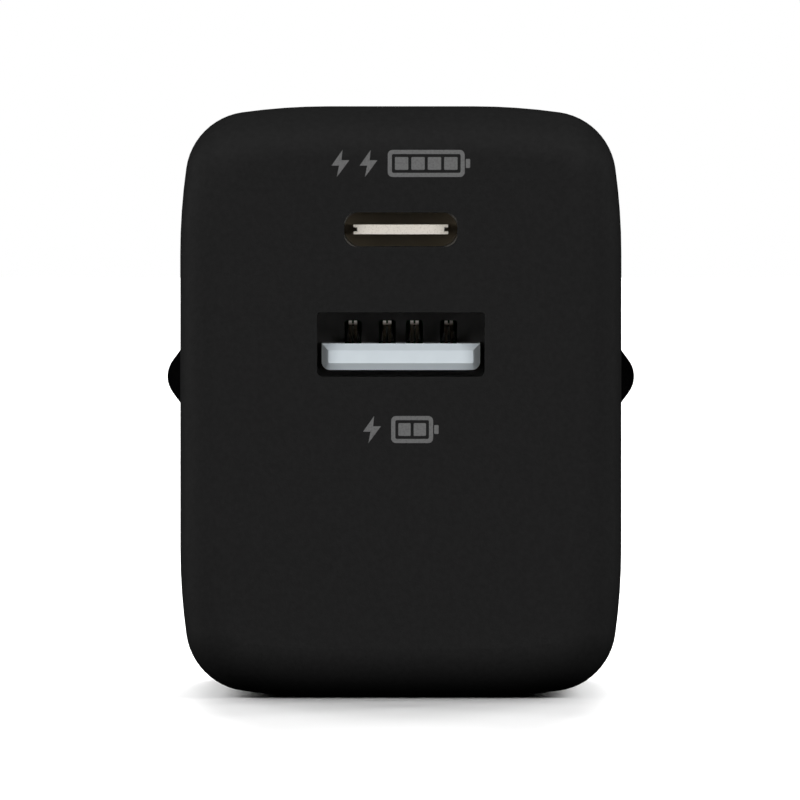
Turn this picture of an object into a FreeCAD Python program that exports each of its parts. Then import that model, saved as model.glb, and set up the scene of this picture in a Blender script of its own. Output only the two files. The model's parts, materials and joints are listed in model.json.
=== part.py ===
"""A wall charger with one USB-C port and one USB-A port, on a fixed two-pin Europlug.

The charger stands upright on its bottom edge. +Z is up, the ports face -Y, and the plug points to +Y.
The origin is on the bottom, midway between the front face and the pins' tips.
"""

import FreeCAD
import Part
import math
import os
import Sketcher
from FreeCAD import Vector

BODY = {
    "body_width": 32.2,
    "body_height": 43.1,
    "housing_depth": 54,
    "flange_depth": 4,
    "side_turn": 8,
    "side_radius": 45,
    "corner_radius": 4.8,
    "front_round": 3.6,
    "flange_round": 1.6,
    "wall": 1.8,
    "face_wall": 2,
    "window_wall": 0.8,
    "lip_depth": 1.6,
    "lip_wall": 0.9,
    "seam_bevel": 0.2,
    "rail_width": 1.2,
    "rail_grip": 0.8,
    "rail_length": 20,
    "slip": 0.1,
}
PLUG = {
    "plug_level": 22.75,
    "stem_length": 18,
    "stem_width": 35.3,
    "stem_height": 13.7,
    "stem_slope": 53.6,
    "stem_tip_radius": 2.05,
    "stem_end_round": 0.6,
    "stem_wall": 2,
    "stem_end_wall": 2.4,
    "pin_spacing": 18,
    "pin_length": 19,
    "pin_radius": 2,
    "pin_round": 1.7,
    "pin_core_radius": 1.4,
    "pin_shank_length": 9,
    "pin_tail_length": 3,
    "pin_tail_radius": 0.9,
    "sleeve_length": 10,
    "sleeve_root": 3,
    "sleeve_radius": 1.8,
    "carrier_width": 25,
    "carrier_height": 9,
    "carrier_depth": 7.6,
    "lead_radius": 0.75,
    "lead_landing": 50.9,
}
BOARDS = {
    "output_board_depth": 14.6,
    "output_board_thickness": 1,
    "output_board_width": 25.6,
    "board_bottom": 4.4,
    "main_board_left": -12.9,
    "main_board_thickness": 1.2,
    "main_board_front": 17,
    "main_board_rear": 52.2,
    "header_pin": 0.5,
    "header_count": 10,
    "header_pitch": 2.54,
    "header_reach": 2.2,
    "sheet_thickness": 0.25,
    "sheet_gap": 0.5,
}
USB_C = {
    "c_level": 34.12,
    "c_window_width": 8.22,
    "c_window_height": 2.48,
    "c_window_corner": 0.85,
    "c_opening_width": 8.34,
    "c_opening_height": 2.56,
    "c_shell_wall": 0.3,
    "c_tongue_width": 6.9,
    "c_tongue_height": 0.7,
    "c_tongue_depth": 1.5,
    "c_groove_depth": 0.28,
    "c_groove_height": 0.3,
    "c_plate_thickness": 0.16,
    "c_plate_cover": 0.4,
    "c_back_depth": 7.2,
    "c_contact_count": 12,
    "c_contact_width": 0.25,
    "c_contact_pitch": 0.5,
    "c_contact_thickness": 0.05,
    "c_contact_start": 0.5,
    "c_contact_length": 4.6,
}
USB_A = {
    "a_level": 25.74,
    "a_window_width": 12.2,
    "a_window_height": 4.7,
    "a_window_top_corner": 0.25,
    "a_window_low_corner": 0.45,
    "a_opening_width": 12.5,
    "a_opening_height": 5.1,
    "a_shell_wall": 0.3,
    "a_tongue_width": 11.55,
    "a_tongue_height": 1.93,
    "a_tongue_level": 24.84,
    "a_tongue_depth": 1.4,
    "a_tongue_bevel": 0.5,
    "a_tongue_round": 0.6,
    "a_tongue_lip": 0.8,
    "a_back_depth": 10.4,
    "a_slot_width": 1.25,
    "a_slot_height": 1.62,
    "a_slot_corner": 0.2,
    "a_groove_depth": 1.3,
    "a_contact_width": 1,
    "a_contact_thickness": 0.2,
    "a_contact_root": 10.6,
    "a_contact_gap": 0.25,
    "a_knee_depth": 8.8,
    "a_knee_bend": 2,
    "a_taper_depth": 7.2,
    "a_crown_depth": 5.8,
    "a_crown_rise": 1.73,
    "a_crown_bend": 1.2,
    "a_crown_width": 0.62,
    "a_slit_width": 0.14,
    "a_slit_depth": 6.6,
    "a_toe_depth": 3.05,
    "a_toe_bend": 0.4,
    "a_inner_contact": 1,
    "a_outer_contact": 3.5,
}
TRANSFORMER = {
    "core_length": 18,
    "core_width": 13,
    "core_half": 7,
    "core_back": 2.6,
    "core_leg": 6,
    "core_depth": 28,
    "core_level": 22,
    "core_lift": 1.4,
    "bobbin_wall": 0.6,
    "bobbin_flange_reach": 2.5,
    "winding_gap": 0.1,
    "primary_thickness": 1.3,
    "secondary_thickness": 0.9,
    "tape_thickness": 0.15,
    "coil_pin_radius": 0.3,
    "coil_pin_pitch": 2.8,
    "coil_pins_in_row": 4,
    "coil_rail_width": 2,
}
CAPACITORS = {
    "bulk_radius": 6.1,
    "bulk_length": 21,
    "bulk_depth": 43.4,
    "bulk_low_level": 18.9,
    "bulk_high_level": 31.9,
    "bulk_sleeve_wall": 0.15,
    "bulk_seal_depth": 2.2,
    "bulk_crimp": 0.7,
    "bulk_lead_radius": 0.4,
    "bulk_lead_spacing": 5,
    "polymer_radius": 3.15,
    "polymer_length": 7,
    "polymer_side": 9.6,
    "polymer_low_level": 8,
    "polymer_pitch": 8,
    "polymer_count": 3,
    "chip_length": 2,
    "chip_width": 1,
    "chip_offset": 4,
    "chip_pitch": 2,
    "chip_row_pitch": 3,
    "chip_rows": 4,
    "disc_radius": 3,
    "disc_thickness": 2.8,
    "disc_depth": 20.6,
    "y_capacitor_level": 34.8,
    "varistor_level": 8.8,
}
CHOKE = {
    "choke_ring": 4,
    "choke_core_radius": 1.9,
    "choke_wire": 0.35,
    "choke_depth": 30.6,
    "choke_level": 8,
    "choke_half_turns": 6,
    "choke_turn_angle": 20,
    "fuse_radius": 1.8,
    "fuse_length": 8,
    "fuse_depth": 46.6,
    "fuse_side": 2,
}
PAD = {
    "spreader_thickness": 0.8,
    "spreader_side": 13.1,
    "spreader_front": 24.6,
    "spreader_rear": 51.6,
    "spreader_bottom": 5,
    "spreader_top": 38,
    "pad_length": 10,
    "pad_width": 11,
}

# Moulded parts on the main board: how tall, how long, how wide, how far behind the face, how far up.
MAIN_BOARD_PARTS = {
    "x_capacitor": (10, 11, 5.6, 43.2, 8.2),
    "bridge_rectifier": (1.6, 6.4, 5, 33, 34.9),
    "primary_switch": (1.2, 6.2, 5.6, 29, 21.4),
    "sync_rectifier": (1.1, 4.4, 5, 21.6, 26.8),
    "pwm_controller": (1.2, 3.6, 5, 21.4, 20),
    "optocoupler": (2.2, 4.4, 4.6, 26.4, 35),
}
# Parts on the rear of the output board: how thick, how wide, how high, how far sideways, how far up.
OUTPUT_BOARD_PARTS = {
    "buck_inductor": (3.6, 7, 7, -5, 33),
    "pd_controller": (0.9, 5, 5, -4, 22.6),
    "buck_controller": (0.9, 4, 4, -4, 13.4),
}

SECTIONS = (BODY, PLUG, BOARDS, USB_C, USB_A, TRANSFORMER, CAPACITORS, CHOKE, PAD)
MAIN_PART_SIZES = ("tall", "long", "wide", "depth", "level")
OUTPUT_PART_SIZES = ("thick", "wide", "high", "side", "level")
TOUCH = 1e-6
# The share of the shorter run that an arc between two runs of a lead takes up.
ARC_SHARE = 0.45

doc = FreeCAD.newDocument("wall_charger")
dims = doc.addObject("Spreadsheet::Sheet", "dims")
subparts = []


# ---- The sheet of sizes ----------------------------------------------------------------------------


def write_sheet():
    """Write every driving size into the sheet, one alias to a row."""
    sizes = {}
    for section in SECTIONS:
        sizes.update(section)
    for parts, keys in ((MAIN_BOARD_PARTS, MAIN_PART_SIZES), (OUTPUT_BOARD_PARTS, OUTPUT_PART_SIZES)):
        for name, values in parts.items():
            sizes.update({f"{name}_{key}": value for key, value in zip(keys, values)})
    for row, (alias, value) in enumerate(sizes.items(), start=1):
        dims.set(f"A{row}", alias)
        dims.set(f"B{row}", str(value))
        dims.setAlias(f"B{row}", alias)
    doc.recompute()


def size(expression):
    """The number that an expression of sheet aliases gives."""
    return float(dims.evalExpression(expression))


def bound(expression):
    """The same expression as another object writes it, with each alias named through the sheet."""
    words = []
    word = ""
    for letter in expression + " ":
        if letter.isalnum() or letter in "_.":
            word += letter
            continue
        words.append(f"dims.{word}" if word and word[0].isalpha() else word)
        words.append(letter)
        word = ""
    return "".join(words).strip()


FRONT = "(0 - (housing_depth + flange_depth + stem_length + pin_length) / 2)"
FACE = "(housing_depth + flange_depth + stem_length)"
MID_LEVEL = "(body_height / 2)"
BOARD_SIDE = "(main_board_left + main_board_thickness)"
BOARD_REAR = "(output_board_depth + output_board_thickness)"
TONGUE_TOP = "(a_tongue_level + a_tongue_height / 2)"


def behind(depth):
    """The Y of a plane that lies the given depth behind the front face."""
    return f"{FRONT} + {depth}"


# ---- Solids ----------------------------------------------------------------------------------------


def keep(label, thing):
    """Name a finished sub-part and list it for export."""
    thing.Label = label
    subparts.append(thing)
    return thing


def bind(thing, **expressions):
    """Bind properties to the sheet. Two underscores stand for a dot in a property's path."""
    for name, expression in expressions.items():
        thing.setExpression(name.replace("__", "."), bound(expression))


def put(thing, x, depth, z):
    """Bind a solid's place: sideways, behind the front face, and up."""
    bind(thing, Placement__Base__x=x, Placement__Base__y=behind(depth), Placement__Base__z=z)


def block(name, wide, deep, high, x, depth, z, centred=(True, False, True)):
    """A box. It is centred on x and z, and runs back from its depth, unless told otherwise."""
    box = doc.addObject("Part::Box", name)
    bind(box, Length=wide, Width=deep, Height=high)
    low = [
        f"{at} - ({span}) / 2" if middle else at
        for at, span, middle in zip((x, depth, z), (wide, deep, high), centred)
    ]
    put(box, *low)
    return box


TURNS = {"x": (Vector(0, 1, 0), 90), "y": (Vector(1, 0, 0), -90), "z": (Vector(0, 0, 1), 0)}


def rod(name, along, radius, length, x, depth, z):
    """A cylinder that starts at the given place and runs along +X, +Y or +Z."""
    cylinder = doc.addObject("Part::Cylinder", name)
    bind(cylinder, Radius=radius, Height=length)
    cylinder.Placement.Rotation = FreeCAD.Rotation(*TURNS[along])
    put(cylinder, x, depth, z)
    return cylinder


def join(name, *solids):
    """Several solids as one."""
    fused = doc.addObject("Part::MultiFuse", name)
    fused.Shapes = list(solids)
    fused.Refine = True
    return fused


def group(name, *solids):
    """Separate solids that share one node."""
    compound = doc.addObject("Part::Compound", name)
    compound.Links = list(solids)
    return compound


def cut(name, base, *tools):
    """A solid with others taken out of it."""
    for number, tool in enumerate(tools, start=1):
        step = doc.addObject("Part::Cut", f"{name}_{number}")
        step.Base = base
        step.Tool = tool
        base = step
    return base


def tube(name, along, outer, inner, length, x, depth, z):
    """A round tube."""
    skin = rod(f"{name}_outer", along, outer, length, x, depth, z)
    hole = rod(f"{name}_inner", along, inner, length, x, depth, z)
    return cut(name, skin, hole)


def edge_numbers(solid, wanted):
    """The numbers of the edges that pass a test."""
    doc.recompute()
    return [number for number, edge in enumerate(solid.Shape.Edges, start=1) if wanted(edge)]


def runs_along(axis):
    """A test for straight edges along an axis."""

    def test(edge):
        return edge.Curve.TypeId == "Part::GeomLine" and abs(edge.Curve.Direction.dot(axis)) > 1 - TOUCH

    return test


def lies_at_depth(depth):
    """A test for edges that lie wholly at one depth behind the front face."""
    y = size(behind(depth))

    def test(edge):
        return abs(edge.BoundBox.YMin - y) < 1e-3 and abs(edge.BoundBox.YMax - y) < 1e-3

    return test


def soften(kind, name, base, radius, wanted):
    """Round or bevel the edges of a solid that pass a test."""
    softened = doc.addObject(f"Part::{kind}", name)
    softened.Base = base
    reach = size(radius)
    softened.Edges = [(number, reach, reach) for number in edge_numbers(base, wanted)]
    return softened


# ---- Sketches --------------------------------------------------------------------------------------


def new_sketch(body, name, plane="XZ_Plane", offset="0"):
    """A sketch on one of the body's own origin planes, moved along that plane's normal."""
    sketch = body.newObject("Sketcher::SketchObject", name)
    base = next(feature for feature in body.Origin.OriginFeatures if feature.Role == plane)
    sketch.AttachmentSupport = [(base, "")]
    sketch.MapMode = "FlatFace"
    bind(sketch, AttachmentOffset__Base__z=offset)
    return sketch


def new_sketch_at(body, name, depth):
    """A sketch parallel to the face, at a depth behind it. The plane's normal points to -Y."""
    return new_sketch(body, name, offset=f"0 - ({behind(depth)})")


def draw_loop(sketch, corners):
    """Draw a closed outline from corner points, each rounded by an arc of its own radius."""
    ends = []
    for number, (x, y, radius) in enumerate(corners):
        here = Vector(x, y, 0)
        before = Vector(*corners[number - 1][:2], 0)
        after = Vector(*corners[(number + 1) % len(corners)][:2], 0)
        to_before = (before - here).normalize()
        to_after = (after - here).normalize()
        turn = math.pi - to_before.getAngle(to_after)
        tangent = radius * math.tan(turn / 2)
        start = here + to_before * tangent
        end = here + to_after * tangent
        if radius > 0:
            to_centre = (to_before + to_after).normalize()
            middle = here + to_centre * (radius / math.cos(turn / 2) - radius)
            sketch.addGeometry(Part.Arc(start, middle, end))
        ends.append((start, end))
    for number, (start, _) in enumerate(ends):
        last_end = ends[number - 1][1]
        if (start - last_end).Length > TOUCH:
            sketch.addGeometry(Part.LineSegment(last_end, start))


def draw_rectangle(sketch, wide, high, x, z):
    """Draw an upright rectangle whose width, height and place are bound to the sheet."""
    left, right = size(f"{x} - ({wide}) / 2"), size(f"{x} + ({wide}) / 2")
    low, top = size(f"{z} - ({high}) / 2"), size(f"{z} + ({high}) / 2")
    points = [Vector(left, low, 0), Vector(right, low, 0), Vector(right, top, 0), Vector(left, top, 0)]
    first = sketch.GeometryCount
    for number in range(4):
        sketch.addGeometry(Part.LineSegment(points[number], points[(number + 1) % 4]))
    for number in range(4):
        sketch.addConstraint(
            Sketcher.Constraint("Coincident", first + number, 2, first + (number + 1) % 4, 1)
        )
        side = "Vertical" if number % 2 else "Horizontal"
        sketch.addConstraint(Sketcher.Constraint(side, first + number))
    bind_constraint(sketch, "DistanceX", (first, 1, first, 2), wide)
    bind_constraint(sketch, "DistanceY", (first + 1, 1, first + 1, 2), high)
    bind_constraint(sketch, "DistanceX", (-1, 1, first, 1), f"{x} - ({wide}) / 2")
    bind_constraint(sketch, "DistanceY", (-1, 1, first, 1), f"{z} - ({high}) / 2")


def draw_circle(sketch, radius, x, z):
    """Draw a circle whose radius and centre are bound to the sheet."""
    centre = Vector(size(x), size(z), 0)
    number = sketch.addGeometry(Part.Circle(centre, Vector(0, 0, 1), size(radius)))
    bind_constraint(sketch, "Radius", (number,), radius)
    bind_constraint(sketch, "DistanceX", (-1, 1, number, 3), x)
    bind_constraint(sketch, "DistanceY", (-1, 1, number, 3), z)


def bind_constraint(sketch, kind, points, expression):
    """Add a sketch dimension bound to the sheet."""
    number = sketch.addConstraint(Sketcher.Constraint(kind, *points, size(expression)))
    sketch.setExpression(f"Constraints[{number}]", bound(expression))


def pad(body, name, sketch, length, back=True):
    """Pad a sketch, to +Y when it lies parallel to the face and back is true."""
    feature = body.newObject("PartDesign::Pad", name)
    feature.Profile = sketch
    feature.Reversed = back
    bind(feature, Length=length)
    return feature


def pocket(body, name, sketch, length, back=True):
    """Pocket a sketch, and check that it took something away."""
    doc.recompute()
    before = body.Shape.Volume
    feature = body.newObject("PartDesign::Pocket", name)
    feature.Profile = sketch
    feature.Reversed = not back
    bind(feature, Length=length)
    doc.recompute()
    if body.Shape.Volume > before - TOUCH:
        raise RuntimeError(f"{name} cuts nothing")
    return feature


def round_edges(body, name, feature, radius, wanted):
    """Fillet the edges of a body's latest feature that pass a test."""
    numbers = edge_numbers(feature, wanted)
    fillet = body.newObject("PartDesign::Fillet", name)
    fillet.Base = (feature, [f"Edge{number}" for number in numbers])
    bind(fillet, Radius=radius)
    doc.recompute()
    return fillet


def body_outline(inset="0"):
    """The body's outline: four sides that bow slightly into tight corners, moved in by an inset.

    Each corner turns 90 degrees in three arcs: a wide one, a tight one and a wide one.
    """
    turn = math.radians(size("side_turn"))
    wide_radius = size(f"side_radius - ({inset})")
    tight_radius = size(f"corner_radius - ({inset})")
    half_width = size(f"body_width / 2 - ({inset})")
    half_height = size(f"body_height / 2 - ({inset})")
    middle = size(MID_LEVEL)
    tight_turn = math.pi / 2 - 2 * turn
    wide_tangent = wide_radius * math.tan(turn / 2)
    tight_tangent = tight_radius * math.tan(tight_turn / 2)
    slant = wide_tangent + tight_tangent
    reach = wide_tangent + slant * (math.cos(turn) + math.sin(turn))
    across = reach - wide_tangent
    corners = []
    for x_sign, z_sign in ((1, 1), (-1, 1), (-1, -1), (1, -1)):
        flat = (half_width - across, half_height, wide_radius)
        tight = (half_width - slant * math.sin(turn), half_height - slant * math.sin(turn), tight_radius)
        upright = (half_width, half_height - across, wide_radius)
        order = (upright, tight, flat) if x_sign == z_sign else (flat, tight, upright)
        corners += [(x_sign * x, middle + z_sign * z, radius) for x, z, radius in order]
    return corners


def stem_outline(inset="0"):
    """The plug's outline: a long hexagon with rounded tips and corners, moved in by an inset."""
    inset_by = size(inset)
    half_height = size("stem_height / 2") - inset_by
    tip_radius = max(size("stem_tip_radius") - inset_by, size("stem_tip_radius") / 4)
    slope = math.radians(size("stem_slope"))
    sharp_tip = size("stem_width / 2") + size("stem_tip_radius") * (1 / math.sin(slope) - 1)
    tip = sharp_tip - inset_by / math.sin(slope)
    corner = tip - half_height / math.tan(slope)
    level = size("plug_level")
    points = ((tip, 0), (corner, half_height), (-corner, half_height))
    points += tuple((-x, -z) for x, z in points)
    return [(x, level + z, tip_radius) for x, z in points]


def soft_rectangle(width, height, corner, level):
    """A rectangle centred on x with four equal round corners."""
    x, z, radius = size(f"({width}) / 2"), size(f"({height}) / 2"), size(corner)
    return [(sx * x, size(level) + sz * z, radius) for sx, sz in ((1, 1), (-1, 1), (-1, -1), (1, -1))]


def stadium(width, height, level):
    """A slot-shaped outline centred on x, with half-round ends."""
    return soft_rectangle(width, height, f"({height}) / 2", level)


def middle_first(count):
    """Whole or half steps from the middle of a row, such as -1, 0 and 1 for a row of three."""
    total = int(size(count))
    return [number - (total - 1) / 2 for number in range(total)]


# ---- Housing ---------------------------------------------------------------------------------------


def window_corner(side):
    """A test for the USB-A window's corner edges, above its middle for side 1 and below it for side -1."""
    straight_back = runs_along(Vector(0, 1, 0))
    half_width = size("a_window_width / 2")
    half_height = size("a_window_height / 2")

    def test(edge):
        at = edge.CenterOfMass
        from_corner = abs(abs(at.x) - half_width) + abs(side * (at.z - size("a_level")) - half_height)
        return straight_back(edge) and from_corner < TOUCH

    return test


def make_front_housing():
    """The moulded box with the ports' windows in its face, open at the back."""
    body = doc.addObject("PartDesign::Body", "front_housing")
    outline = new_sketch_at(body, "housing_outline", "0")
    draw_loop(outline, body_outline())
    blank = pad(body, "housing_pad", outline, "housing_depth")
    rounded = round_edges(body, "housing_front_round", blank, "front_round", lies_at_depth("0"))
    round_edges(body, "housing_rear_round", rounded, "seam_bevel", lies_at_depth("housing_depth"))

    cavity = new_sketch_at(body, "cavity_outline", "face_wall")
    draw_loop(cavity, body_outline("wall"))
    hollow = pocket(body, "cavity", cavity, "housing_depth - face_wall")
    floor = lies_at_depth("face_wall")
    round_edges(body, "cavity_round", hollow, "corner_radius - wall - slip * 2", floor)

    for port in ("c", "a"):
        relief = new_sketch_at(body, f"{port}_relief_outline", "window_wall")
        wide = f"{port}_opening_width + 2 * {port}_shell_wall + slip"
        high = f"{port}_opening_height + 2 * {port}_shell_wall + slip"
        if port == "c":
            draw_loop(relief, stadium(wide, high, "c_level"))
        else:
            draw_rectangle(relief, wide, high, "0", "a_level")
        pocket(body, f"{port}_relief", relief, "face_wall - window_wall")

    c_window = new_sketch_at(body, "c_window_outline", "0")
    draw_loop(c_window, soft_rectangle("c_window_width", "c_window_height", "c_window_corner", "c_level"))
    pocket(body, "c_window", c_window, "face_wall")
    a_window = new_sketch_at(body, "a_window_outline", "0")
    draw_rectangle(a_window, "a_window_width", "a_window_height", "0", "a_level")
    opening = pocket(body, "a_window", a_window, "face_wall")
    topped = round_edges(body, "a_window_top_round", opening, "a_window_top_corner", window_corner(1))
    round_edges(body, "a_window_low_round", topped, "a_window_low_corner", window_corner(-1))

    rails = new_sketch_at(body, "rail_outline", "main_board_front")
    high = "(board_bottom + rail_grip - wall + slip)"
    low_middle = f"(wall - slip + {high} / 2)"
    for side in ("main_board_left - slip - rail_width / 2", f"{BOARD_SIDE} + slip + rail_width / 2"):
        draw_rectangle(rails, "rail_width", high, side, low_middle)
        draw_rectangle(rails, "rail_width", high, side, f"body_height - {low_middle}")
    pad(body, "rails", rails, "rail_length")
    keep("front_housing", body)


def make_rear_cover():
    """The rear cover: a flange that closes the housing, a lip inside it, and the plug's hollow stem."""
    body = doc.addObject("PartDesign::Body", "rear_cover")
    flange_outline = new_sketch_at(body, "flange_outline", "housing_depth")
    draw_loop(flange_outline, body_outline())
    flange = pad(body, "flange", flange_outline, "flange_depth")
    rear = lies_at_depth("housing_depth + flange_depth")
    rounded = round_edges(body, "flange_rear_round", flange, "flange_round", rear)
    round_edges(body, "flange_front_round", rounded, "seam_bevel", lies_at_depth("housing_depth"))

    hexagon = new_sketch_at(body, "stem_outline", "housing_depth")
    draw_loop(hexagon, stem_outline())
    stem = pad(body, "stem", hexagon, "flange_depth + stem_length")
    round_edges(body, "stem_end", stem, "stem_end_round", lies_at_depth(FACE))

    lip_outline = new_sketch_at(body, "lip_outline", "housing_depth")
    draw_loop(lip_outline, body_outline("wall + slip"))
    pad(body, "lip", lip_outline, "lip_depth", back=False)

    recess = new_sketch_at(body, "recess_outline", "housing_depth - lip_depth")
    draw_loop(recess, body_outline("wall + slip + lip_wall"))
    pocket(body, "recess", recess, "lip_depth + flange_depth - wall")

    hollow = new_sketch_at(body, "stem_hollow_outline", "housing_depth")
    draw_loop(hollow, stem_outline("stem_wall"))
    pocket(body, "stem_hollow", hollow, "flange_depth + stem_length - stem_end_wall")

    holes = new_sketch_at(body, "pin_hole_outline", f"{FACE} - stem_end_wall")
    for side in (-1, 1):
        draw_circle(holes, "sleeve_radius + slip / 2", f"{side} * pin_spacing / 2", "plug_level")
    pocket(body, "pin_holes", holes, "stem_end_wall")
    doc.recompute()
    keep("rear_cover", body)


# ---- Plug ------------------------------------------------------------------------------------------


def make_pin(name, side):
    """One plug pin: a tail, a thick shank, a thin core under the sleeve, and a thick round-ended tip."""
    x = f"{side} * pin_spacing / 2"
    level = "plug_level"
    shank_end = f"({FACE} - sleeve_root)"
    shank_start = f"({shank_end} - pin_shank_length)"
    tail_start = f"({shank_start} - pin_tail_length)"
    tip_start = f"({FACE} + sleeve_length)"
    tail = rod(f"{name}_tail", "y", "pin_tail_radius", "pin_tail_length", x, tail_start, level)
    shank = rod(f"{name}_shank", "y", "pin_radius", "pin_shank_length", x, shank_start, level)
    core = rod(f"{name}_core", "y", "pin_core_radius", "sleeve_root + sleeve_length", x, shank_end, level)
    tip = rod(f"{name}_tip", "y", "pin_radius", "pin_length - sleeve_length", x, tip_start, level)
    end = lies_at_depth(f"{FACE} + pin_length")
    round_tip = soften("Fillet", f"{name}_round_tip", tip, "pin_round", end)
    keep(name, join(f"{name}_whole", tail, shank, core, round_tip))


def make_pin_sleeve(name, side):
    """The insulating sleeve on the inner part of one pin."""
    x = f"{side} * pin_spacing / 2"
    start = f"({FACE} - sleeve_root)"
    length = "sleeve_root + sleeve_length"
    sleeve = tube(f"{name}_tube", "y", "sleeve_radius", "pin_core_radius", length, x, start, "plug_level")
    keep(name, sleeve)


def make_pin_carrier():
    """The insulating block that holds both pins inside the stem."""
    start = f"({FACE} - stem_end_wall - carrier_depth)"
    carrier = block("carrier_block", "carrier_width", "carrier_depth", "carrier_height", "0", start,
                    "plug_level")
    softened = soften("Fillet", "carrier_soft", carrier, "corner_radius / 4", runs_along(Vector(0, 1, 0)))
    holes = [
        rod(f"carrier_hole_{number}", "y", "pin_radius", "carrier_depth", f"{side} * pin_spacing / 2", start,
            "plug_level")
        for number, side in enumerate((-1, 1), start=1)
    ]
    keep("pin_carrier", cut("carrier_bored", softened, *holes))


def make_lead(name, route):
    """An insulated lead along straight runs joined by arcs as large as the runs allow."""
    points = [Vector(size(x), size(behind(depth)), size(z)) for x, depth, z in route]
    edges = []
    last = points[0]
    for before, here, after in zip(points, points[1:], points[2:]):
        to_before, to_after = (before - here), (after - here)
        reach = ARC_SHARE * min(to_before.Length, to_after.Length)
        to_before.normalize()
        to_after.normalize()
        start, end = here + to_before * reach, here + to_after * reach
        half_turn = (math.pi - to_before.getAngle(to_after)) / 2
        radius = reach / math.tan(half_turn)
        middle = here + (to_before + to_after).normalize() * (radius / math.cos(half_turn) - radius)
        edges.append(Part.LineSegment(last, start).toShape())
        edges.append(Part.Arc(start, middle, end).toShape())
        last = end
    edges.append(Part.LineSegment(last, points[-1]).toShape())
    path = Part.Wire(edges)
    section = Part.Wire([Part.makeCircle(size("lead_radius"), points[0], points[1] - points[0])])
    lead = doc.addObject("Part::Feature", name)
    lead.Shape = path.makePipeShell([section], True, True)
    return keep(name, lead)


def make_leads():
    """The two leads from the pins' tails to the main board."""
    tail = f"{FACE} - sleeve_root - pin_shank_length - pin_tail_length"
    landing = "lead_landing"
    level = "plug_level"
    make_lead("live_lead", [
        ("0 - pin_spacing / 2", tail, level),
        ("0 - pin_spacing / 2", landing, level),
        (BOARD_SIDE, landing, level),
    ])
    make_lead("neutral_lead", [
        ("pin_spacing / 2", tail, level),
        ("pin_spacing / 2", f"({tail} + {landing}) / 2", level),
        ("pin_spacing / 8", f"{landing} + lead_radius", f"{level} - stem_height / 3"),
        ("0 - pin_spacing / 4", landing, f"{level} - stem_height / 2"),
        (BOARD_SIDE, landing, f"{level} - stem_height / 2"),
    ])


# ---- Ports -----------------------------------------------------------------------------------------


def make_usb_c_port():
    """The USB-C receptacle: shell, insulator with its tongue, the plate in the tongue, and the contacts."""
    length = "output_board_depth - window_wall"
    shell = doc.addObject("PartDesign::Body", "usb_c_shell")
    outer = new_sketch_at(shell, "c_shell_outline", "window_wall")
    wall = "2 * c_shell_wall"
    draw_loop(outer, stadium(f"c_opening_width + {wall}", f"c_opening_height + {wall}", "c_level"))
    pad(shell, "c_shell_pad", outer, length)
    inner = new_sketch_at(shell, "c_shell_opening", "window_wall")
    draw_loop(inner, stadium("c_opening_width", "c_opening_height", "c_level"))
    pocket(shell, "c_shell_bore", inner, length)
    keep("usb_c_shell", shell)

    insulator = doc.addObject("PartDesign::Body", "c_insulator_body")
    back = new_sketch_at(insulator, "c_back_outline", "c_back_depth")
    draw_loop(back, stadium("c_opening_width - slip / 2", "c_opening_height - slip / 2", "c_level"))
    pad(insulator, "c_back", back, "output_board_depth - c_back_depth")
    tongue = new_sketch_at(insulator, "c_tongue_outline", "c_tongue_depth")
    draw_rectangle(tongue, "c_tongue_width", "c_tongue_height", "0", "c_level")
    pad(insulator, "c_tongue", tongue, "c_back_depth - c_tongue_depth")
    grooves = new_sketch_at(insulator, "c_groove_outline", "c_tongue_depth")
    for side in (-1, 1):
        middle = f"{side} * (c_tongue_width - c_groove_depth) / 2"
        draw_rectangle(grooves, "c_groove_depth", "c_groove_height", middle, "c_level")
    pocket(insulator, "c_grooves", grooves, "c_back_depth - c_tongue_depth")
    plate_depth = "(c_tongue_depth + c_plate_cover)"
    plate = block("c_plate", "c_tongue_width - 2 * c_groove_depth + 2 * slip",
                  f"output_board_depth - {plate_depth}", "c_plate_thickness", "0", plate_depth, "c_level")
    keep("usb_c_mid_plate", plate)

    lift = "(c_tongue_height - c_contact_thickness) / 2"
    contacts = []
    for row, sign in (("upper", 1), ("lower", -1)):
        for number, step in enumerate(middle_first("c_contact_count"), start=1):
            contacts.append(
                block(f"c_{row}_contact_{number}", "c_contact_width", "c_contact_length",
                      "c_contact_thickness", f"{step} * c_contact_pitch", "c_tongue_depth + c_contact_start",
                      f"c_level + {sign} * {lift}")
            )
    inlay = group("c_contacts", *contacts)
    keep("usb_c_contacts", inlay)
    keep("usb_c_insulator", cut("c_insulator", insulator, plate, inlay))


def contact_sides():
    """Where the four USB-A contacts lie, from left to right."""
    return ("0 - a_outer_contact", "0 - a_inner_contact", "a_inner_contact", "a_outer_contact")


def make_contact_slots(along):
    """The four slots that the USB-A contacts lie in: grooves in the tongue, open above it in the block."""
    start = "(a_tongue_depth + a_tongue_lip)"
    floor = f"({TONGUE_TOP} - a_groove_depth)"
    low = size(floor)
    slots = []
    for number, side in enumerate(contact_sides(), start=1):
        slot = block(f"a_slot_{number}", "a_slot_width", f"output_board_depth - {start}",
                     "a_slot_height + a_groove_depth", side, start, floor, centred=(True, False, False))
        slots.append(soften("Fillet", f"a_slot_soft_{number}", slot, "a_slot_corner",
                            lambda edge: along(edge) and edge.CenterOfMass.z > low + TOUCH))
    return slots


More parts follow.
